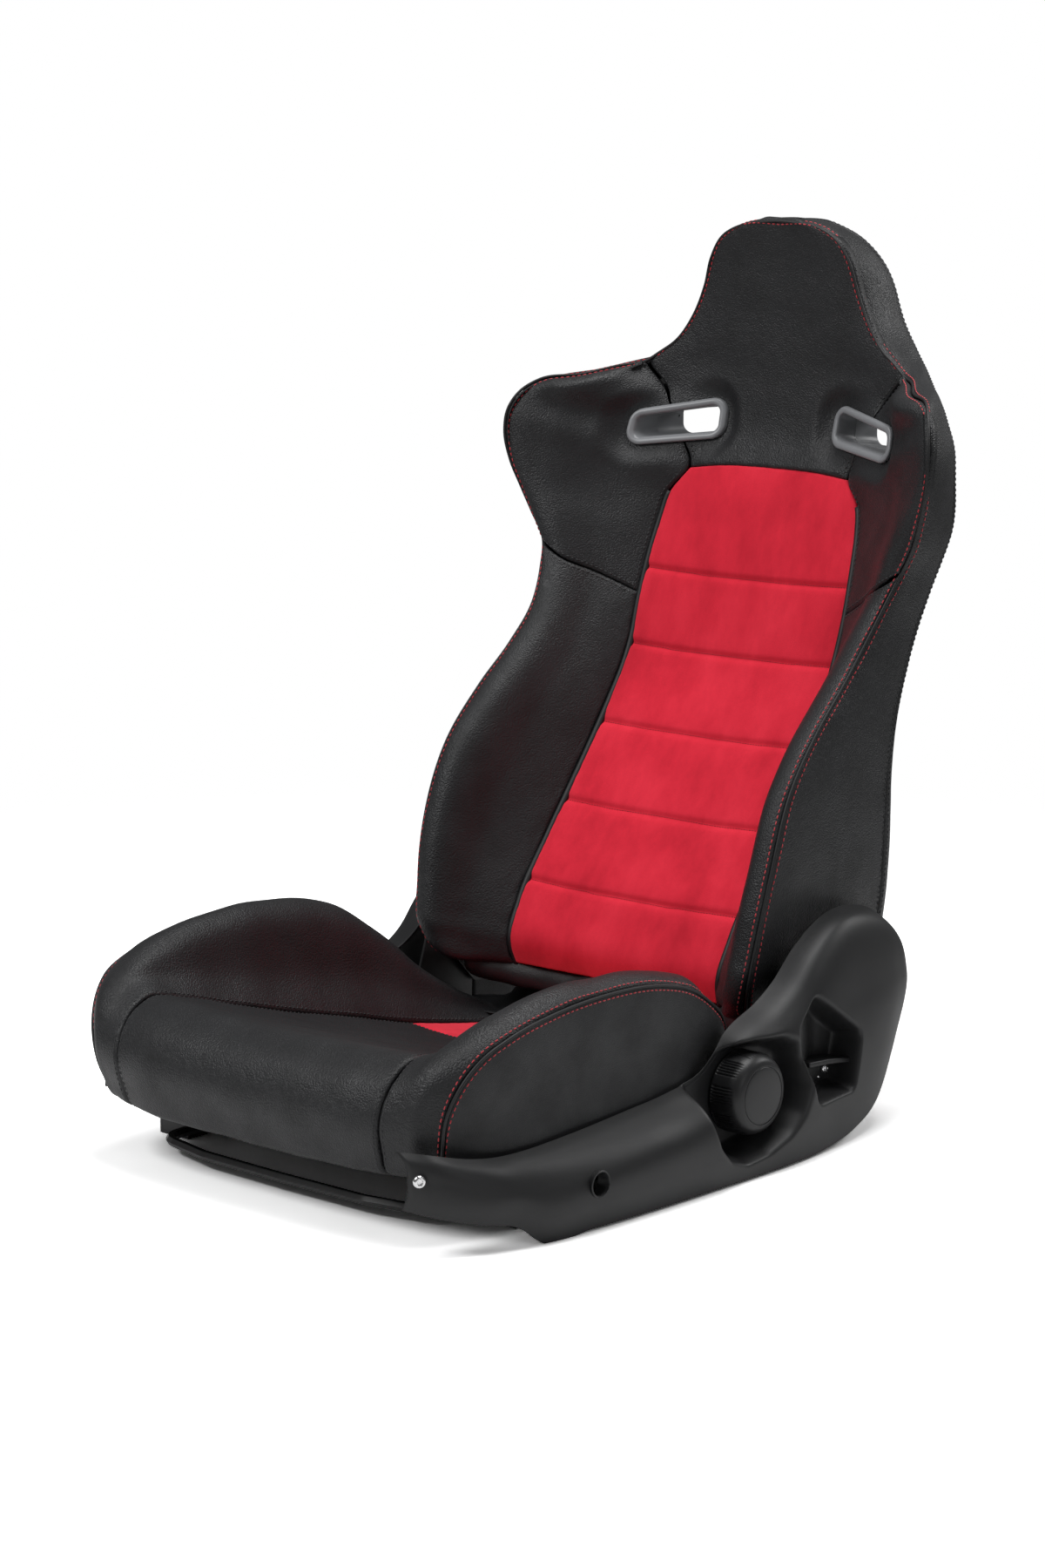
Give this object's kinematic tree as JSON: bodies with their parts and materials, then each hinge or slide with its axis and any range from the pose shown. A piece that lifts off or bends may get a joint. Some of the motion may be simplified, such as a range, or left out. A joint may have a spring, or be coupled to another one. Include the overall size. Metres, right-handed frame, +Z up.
{
  "type": "reclining bucket seat",
  "caption": "High-back reclining bucket seat with deep side bolsters, shoulder wings, harness slots, stitched upholstery, side shields and slide rails.",
  "frame": {"origin": "on the floor, under the middle of the seat's bounding box", "axes": "+Z up, -Y the way the seat faces, +X the sitter's left, where the recline dial and the fold lever are"},
  "size_m": [0.618, 0.8905, 0.9021],
  "materials": {
    "black_leather": "grained, satin",
    "red_suede": "soft nap, matte",
    "black_plastic": "fine texture, matte",
    "grey_trim": "satin",
    "black_steel": "satin black coating",
    "bright_metal": "plated, bright"
  },
  "bodies": {
    "rails": {"rail_lower_left": "black_steel", "rail_lower_right": "black_steel", "rail_stop_left": "black_steel", "rail_stop_right": "black_steel"},
    "seat_base": {"base_front_tube": "black_steel", "base_rear_tube": "black_steel", "base_side_plate_left": "black_steel", "base_side_plate_right": "black_steel", "cushion_bolster_left": "black_leather", "cushion_bolster_right": "black_leather", "cushion_front_panel": "black_leather", "cushion_insert": "red_suede", "cushion_pan": "black_steel", "cushion_spring_1": "black_steel", "cushion_spring_2": "black_steel", "cushion_spring_3": "black_steel", "lever_screw": "bright_metal", "lever_spacer": "black_steel", "pivot_bolt_left": "bright_metal", "pivot_bolt_right": "bright_metal", "rail_upper_left": "black_steel", "rail_upper_right": "black_steel", "recliner_housing_left": "black_steel", "recliner_housing_right": "black_steel", "shield_screw_left": "bright_metal", "shield_screw_right": "bright_metal", "side_shield_left": "black_plastic", "side_shield_right": "black_plastic", "spring_rail_left": "black_steel", "spring_rail_right": "black_steel"},
    "recline_arms": {"recliner_arm_left": "black_steel", "recliner_arm_right": "black_steel", "recliner_link_tube": "black_steel"},
    "backrest": {"back_bolster_left": "black_leather", "back_bolster_right": "black_leather", "back_cover": "black_leather", "back_cross_tube_lower": "black_steel", "back_cross_tube_upper": "black_steel", "back_frame_hoop": "black_steel", "back_hinge_plate_left": "black_steel", "back_hinge_plate_right": "black_steel", "back_insert": "red_suede", "back_spring_1": "black_steel", "back_spring_2": "black_steel", "back_spring_3": "black_steel", "headrest_loop": "black_steel", "headrest_pad": "black_leather", "hinge_spacer_left": "black_steel", "hinge_spacer_right": "black_steel", "shoulder_wing_left": "black_leather", "shoulder_wing_right": "black_leather", "slot_bezel_left": "grey_trim", "slot_bezel_right": "grey_trim", "slot_rear_ring_left": "grey_trim", "slot_rear_ring_right": "grey_trim"},
    "recline_dial": {"knob_shaft": "bright_metal", "recline_knob": "black_plastic"},
    "fold_lever": {"fold_release_lever": "black_plastic"},
    "release_bar": {"slide_release_bar": "black_steel"}
  },
  "joints": [
    {"name": "seat_slide", "type": "slide", "parent": "rails", "child": "seat_base", "axis": [0, 1, 0], "range_m": [0, 0.18]},
    {"name": "backrest_recline", "type": "hinge", "parent": "seat_base", "child": "recline_arms", "pos_m": [0, 0.1133, 0.15], "axis": [-1, 0, 0], "range_deg": [-8, 45]},
    {"name": "backrest_fold", "type": "hinge", "parent": "recline_arms", "child": "backrest", "pos_m": [0, 0.1133, 0.15], "axis": [1, 0, 0], "range_deg": [0, 60]},
    {"name": "dial_turn", "type": "hinge", "parent": "seat_base", "child": "recline_dial", "pos_m": [0.265, -0.0257, 0.078], "axis": [-1, 0, 0], "range_deg": [-96, 540]},
    {"name": "fold_lever_lift", "type": "hinge", "parent": "seat_base", "child": "fold_lever", "pos_m": [0.262, 0.1123, 0.073], "axis": [1, 0, 0], "range_deg": [0, 15], "stiffness_Nm_per_rad": 0.5, "springref_deg": -5.73},
    {"name": "release_bar_lift", "type": "hinge", "parent": "seat_base", "child": "release_bar", "pos_m": [0, -0.1717, 0.014], "axis": [-1, 0, 0], "range_deg": [0, 7], "stiffness_Nm_per_rad": 2, "springref_deg": -5.73}
  ],
  "couplings": [
    {"joint": "dial_turn", "follows": "backrest_recline", "ratio": 12}
  ]
}
